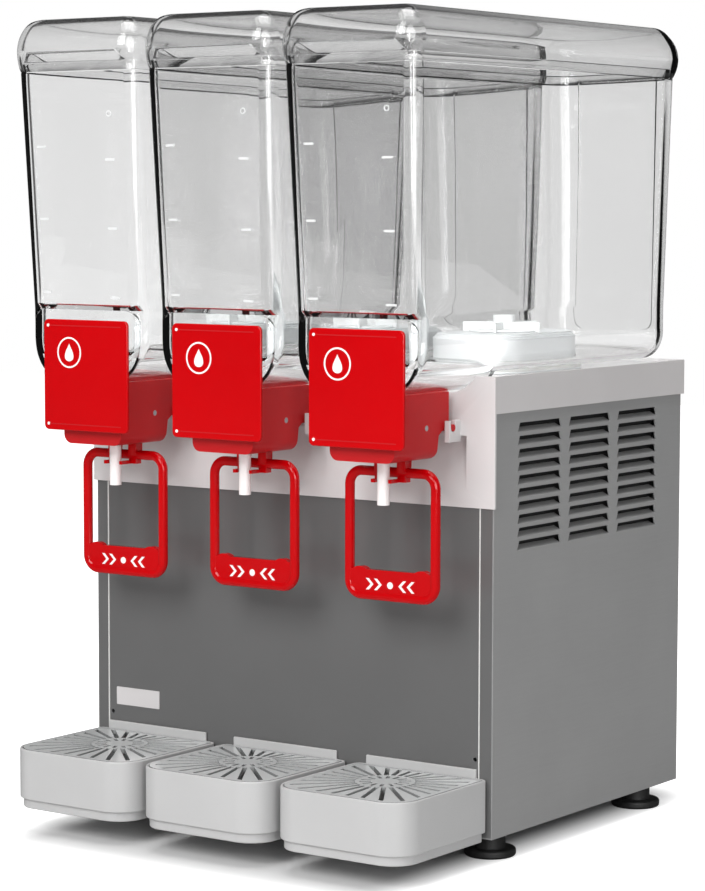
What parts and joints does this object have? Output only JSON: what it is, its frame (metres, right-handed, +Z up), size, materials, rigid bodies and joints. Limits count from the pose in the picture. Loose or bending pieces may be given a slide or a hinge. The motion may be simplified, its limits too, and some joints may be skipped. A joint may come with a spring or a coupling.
{
  "type": "cold drink dispenser",
  "caption": "Refrigerated drink dispenser with clear lidded bowls side by side on a louvred steel cabinet, red push-lever taps and pull-off drip trays.",
  "frame": {"origin": "centre of the footprint, on the table", "axes": "+X to the viewer's right, +Y to the back, +Z up"},
  "size_m": [0.362, 0.3816, 0.595],
  "materials": {
    "clear_plastic": "clear, polished",
    "red_gloss": "glossy",
    "red_satin": "satin",
    "tube_rubber": "soft, satin",
    "cover_plastic": "satin",
    "grey_sheet": "satin grey",
    "brushed_front": "brushed",
    "zinc_sheet": "zinc coated",
    "black_rubber": "matte",
    "tray_plastic": "semi-gloss",
    "grid_plastic": "semi-gloss",
    "stainless": "brushed",
    "seal_rubber": "matte",
    "motor_paint": "satin",
    "black_paint": "satin",
    "screw_steel": "bright",
    "fin_aluminium": "mill",
    "black_plastic": "satin",
    "white_plastic": "satin",
    "pipe_copper": "drawn copper"
  },
  "bodies": {
    "cabinet": {"base_pan": "zinc_sheet", "front_panel": "brushed_front", "left_side_panel": "grey_sheet", "right_side_panel": "grey_sheet", "rear_panel": "grey_sheet", "top_cover": "cover_plastic", "feet": "black_rubber", "panel_screws": "screw_steel", "evaporators": "stainless", "bowl_gaskets": "seal_rubber", "drive_motors": "motor_paint", "compressor": "black_paint", "compressor_grommets": "black_rubber", "condenser": "fin_aluminium", "fan_shroud": "zinc_sheet", "fan_motor": "motor_paint", "refrigerant_lines": "pipe_copper", "thermostat": "white_plastic", "switch_frame": "black_plastic", "terminal_box": "white_plastic", "cord_gland": "black_plastic"},
    "fan": {"condenser_fan": "black_plastic"},
    "knob": {"thermostat_knob": "black_plastic"},
    "rocker": {"switch_rocker": "red_gloss"},
    "left_bowl_unit": {"left_bowl": "clear_plastic", "left_tap_housing": "red_satin", "left_front_plate": "red_gloss", "left_spout_tube": "tube_rubber", "left_lever_pin": "screw_steel", "left_lever_spring": "screw_steel"},
    "left_lid_unit": {"left_lid": "clear_plastic"},
    "left_lever_unit": {"left_lever": "red_gloss"},
    "left_impeller_unit": {"left_impeller": "white_plastic"},
    "left_rotor_unit": {"left_drive_rotor": "motor_paint"},
    "left_tray_unit": {"left_drip_tray": "tray_plastic"},
    "left_grid_unit": {"left_drip_grid": "grid_plastic"},
    "middle_bowl_unit": {"middle_bowl": "clear_plastic", "middle_tap_housing": "red_satin", "middle_front_plate": "red_gloss", "middle_spout_tube": "tube_rubber", "middle_lever_pin": "screw_steel", "middle_lever_spring": "screw_steel"},
    "middle_lid_unit": {"middle_lid": "clear_plastic"},
    "middle_lever_unit": {"middle_lever": "red_gloss"},
    "middle_impeller_unit": {"middle_impeller": "white_plastic"},
    "middle_rotor_unit": {"middle_drive_rotor": "motor_paint"},
    "middle_tray_unit": {"middle_drip_tray": "tray_plastic"},
    "middle_grid_unit": {"middle_drip_grid": "grid_plastic"},
    "right_bowl_unit": {"right_bowl": "clear_plastic", "right_tap_housing": "red_satin", "right_front_plate": "red_gloss", "right_spout_tube": "tube_rubber", "right_lever_pin": "screw_steel", "right_lever_spring": "screw_steel"},
    "right_lid_unit": {"right_lid": "clear_plastic"},
    "right_lever_unit": {"right_lever": "red_gloss"},
    "right_impeller_unit": {"right_impeller": "white_plastic"},
    "right_rotor_unit": {"right_drive_rotor": "motor_paint"},
    "right_tray_unit": {"right_drip_tray": "tray_plastic"},
    "right_grid_unit": {"right_drip_grid": "grid_plastic"}
  },
  "joints": [
    {"name": "fan_spin", "type": "hinge", "parent": "cabinet", "child": "fan", "pos_m": [0.1026, 0.04875, 0.1047], "axis": [1, 0, 0], "continuous": true},
    {"name": "knob_turn", "type": "hinge", "parent": "cabinet", "child": "knob", "pos_m": [-0.04, 0.18175, 0.278], "axis": [0, 1, 0], "range_deg": [0, 270]},
    {"name": "rocker_tilt", "type": "hinge", "parent": "cabinet", "child": "rocker", "pos_m": [-0.09, 0.17675, 0.278], "axis": [1, 0, 0], "range_deg": [0, 20]},
    {"name": "left_bowl_lift", "type": "slide", "parent": "cabinet", "child": "left_bowl_unit", "axis": [0, 0, 1], "range_m": [0, 0.06]},
    {"name": "left_lid_lift", "type": "slide", "parent": "left_bowl_unit", "child": "left_lid_unit", "axis": [0, 0, 1], "range_m": [0, 0.08]},
    {"name": "left_lever_push", "type": "hinge", "parent": "left_bowl_unit", "child": "left_lever_unit", "pos_m": [-0.12, -0.11925, 0.309], "axis": [1, 0, 0], "range_deg": [0, 12], "stiffness_Nm_per_rad": 0.4, "springref_deg": -17.19},
    {"name": "left_rotor_spin", "type": "hinge", "parent": "cabinet", "child": "left_rotor_unit", "pos_m": [-0.12, 0.02075, 0.356], "axis": [0, 0, 1], "continuous": true},
    {"name": "left_impeller_spin", "type": "hinge", "parent": "cabinet", "child": "left_impeller_unit", "pos_m": [-0.12, 0.02075, 0.372], "axis": [0, 0, 1], "continuous": true},
    {"name": "left_tray_pull", "type": "slide", "parent": "cabinet", "child": "left_tray_unit", "axis": [0, -1, 0], "range_m": [0, 0.06]},
    {"name": "left_grid_lift", "type": "slide", "parent": "left_tray_unit", "child": "left_grid_unit", "axis": [0, 0, 1], "range_m": [0, 0.04]},
    {"name": "middle_bowl_lift", "type": "slide", "parent": "cabinet", "child": "middle_bowl_unit", "axis": [0, 0, 1], "range_m": [0, 0.06]},
    {"name": "middle_lid_lift", "type": "slide", "parent": "middle_bowl_unit", "child": "middle_lid_unit", "axis": [0, 0, 1], "range_m": [0, 0.08]},
    {"name": "middle_lever_push", "type": "hinge", "parent": "middle_bowl_unit", "child": "middle_lever_unit", "pos_m": [0, -0.11925, 0.309], "axis": [1, 0, 0], "range_deg": [0, 12], "stiffness_Nm_per_rad": 0.4, "springref_deg": -17.19},
    {"name": "middle_rotor_spin", "type": "hinge", "parent": "cabinet", "child": "middle_rotor_unit", "pos_m": [0, 0.02075, 0.356], "axis": [0, 0, 1], "continuous": true},
    {"name": "middle_impeller_spin", "type": "hinge", "parent": "cabinet", "child": "middle_impeller_unit", "pos_m": [0, 0.02075, 0.372], "axis": [0, 0, 1], "continuous": true},
    {"name": "middle_tray_pull", "type": "slide", "parent": "cabinet", "child": "middle_tray_unit", "axis": [0, -1, 0], "range_m": [0, 0.06]},
    {"name": "middle_grid_lift", "type": "slide", "parent": "middle_tray_unit", "child": "middle_grid_unit", "axis": [0, 0, 1], "range_m": [0, 0.04]},
    {"name": "right_bowl_lift", "type": "slide", "parent": "cabinet", "child": "right_bowl_unit", "axis": [0, 0, 1], "range_m": [0, 0.06]},
    {"name": "right_lid_lift", "type": "slide", "parent": "right_bowl_unit", "child": "right_lid_unit", "axis": [0, 0, 1], "range_m": [0, 0.08]},
    {"name": "right_lever_push", "type": "hinge", "parent": "right_bowl_unit", "child": "right_lever_unit", "pos_m": [0.12, -0.11925, 0.309], "axis": [1, 0, 0], "range_deg": [0, 12], "stiffness_Nm_per_rad": 0.4, "springref_deg": -17.19},
    {"name": "right_rotor_spin", "type": "hinge", "parent": "cabinet", "child": "right_rotor_unit", "pos_m": [0.12, 0.02075, 0.356], "axis": [0, 0, 1], "continuous": true},
    {"name": "right_impeller_spin", "type": "hinge", "parent": "cabinet", "child": "right_impeller_unit", "pos_m": [0.12, 0.02075, 0.372], "axis": [0, 0, 1], "continuous": true},
    {"name": "right_tray_pull", "type": "slide", "parent": "cabinet", "child": "right_tray_unit", "axis": [0, -1, 0], "range_m": [0, 0.06]},
    {"name": "right_grid_lift", "type": "slide", "parent": "right_tray_unit", "child": "right_grid_unit", "axis": [0, 0, 1], "range_m": [0, 0.04]}
  ],
  "couplings": [
    {"joint": "left_impeller_spin", "follows": "left_rotor_spin", "ratio": 1},
    {"joint": "middle_impeller_spin", "follows": "middle_rotor_spin", "ratio": 1},
    {"joint": "right_impeller_spin", "follows": "right_rotor_spin", "ratio": 1}
  ]
}
